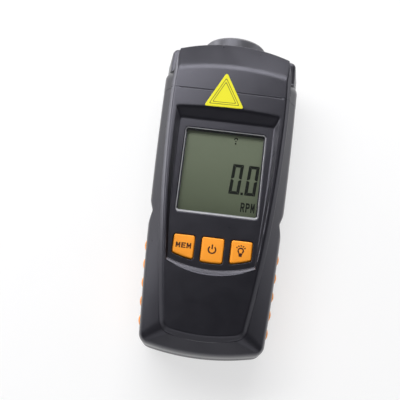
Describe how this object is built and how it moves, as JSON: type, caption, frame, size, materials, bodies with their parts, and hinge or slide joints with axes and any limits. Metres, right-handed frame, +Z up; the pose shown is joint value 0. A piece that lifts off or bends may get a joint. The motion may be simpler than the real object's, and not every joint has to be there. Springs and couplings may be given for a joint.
{
  "type": "laser tachometer",
  "caption": "Handheld non-contact tachometer with a display well, sprung keys, laser optics in a round nose and a sliding battery door",
  "frame": {"origin": "middle of the outline on the flat back", "axes": "+X across to the light key, +Y along the body towards the nose, +Z up out of the display"},
  "size_m": [0.0628, 0.15, 0.038],
  "materials": {
    "housing": "fine moulded texture, semi-gloss",
    "housing_back": "fine moulded texture",
    "nose_plastic": "satin",
    "nose_filter": "tinted polished",
    "clear_window": "polished",
    "silver_trim": "bright satin",
    "lcd": "satin polarizer",
    "inner_plastic": "matte",
    "light_guide": "milky",
    "contact_rubber": "matte",
    "circuit_board": "solder mask",
    "component_black": "matte",
    "switch_body": "matte",
    "key_orange": "soft satin",
    "laser_brass": "turned",
    "optic_glass": "polished",
    "metal_can": "plated",
    "wire_red": "smooth insulation",
    "battery_case": "satin jacket",
    "grip_orange": "soft matte",
    "screw_steel": "zinc plated"
  },
  "bodies": {
    "housing": {"front_shell": "housing", "rear_shell": "housing_back", "head_cap": "housing", "nose_collar": "nose_plastic", "nose_glass": "nose_filter", "display_window": "clear_window", "display_trim": "silver_trim", "lcd_glass": "lcd", "lcd_holder": "inner_plastic", "backlight_panel": "light_guide", "zebra_strips": "contact_rubber", "main_board": "circuit_board", "board_components": "component_black", "key_switches": "switch_body", "optics_bracket": "inner_plastic", "laser_module": "laser_brass", "laser_lens": "optic_glass", "receiving_lens": "optic_glass", "photodiode": "metal_can", "sensor_board": "circuit_board", "sensor_leads": "wire_red", "battery": "battery_case", "battery_snap": "component_black", "battery_leads": "wire_red", "side_grip_left": "grip_orange", "side_grip_right": "grip_orange", "case_screws": "screw_steel", "board_screws": "screw_steel"},
    "memory_key": {"button_memory": "key_orange"},
    "power_key": {"button_power": "key_orange"},
    "light_key": {"button_light": "key_orange"},
    "door": {"battery_door": "housing_back"}
  },
  "joints": [
    {"name": "memory_press", "type": "slide", "parent": "housing", "child": "memory_key", "axis": [0, 0, -1], "range_m": [0, 0.0006], "stiffness_N_per_m": 800},
    {"name": "power_press", "type": "slide", "parent": "housing", "child": "power_key", "axis": [0, 0, -1], "range_m": [0, 0.0006], "stiffness_N_per_m": 800},
    {"name": "light_press", "type": "slide", "parent": "housing", "child": "light_key", "axis": [0, 0, -1], "range_m": [0, 0.0006], "stiffness_N_per_m": 800},
    {"name": "door_slide", "type": "slide", "parent": "housing", "child": "door", "axis": [0, -1, 0], "range_m": [0, 0.058]}
  ]
}
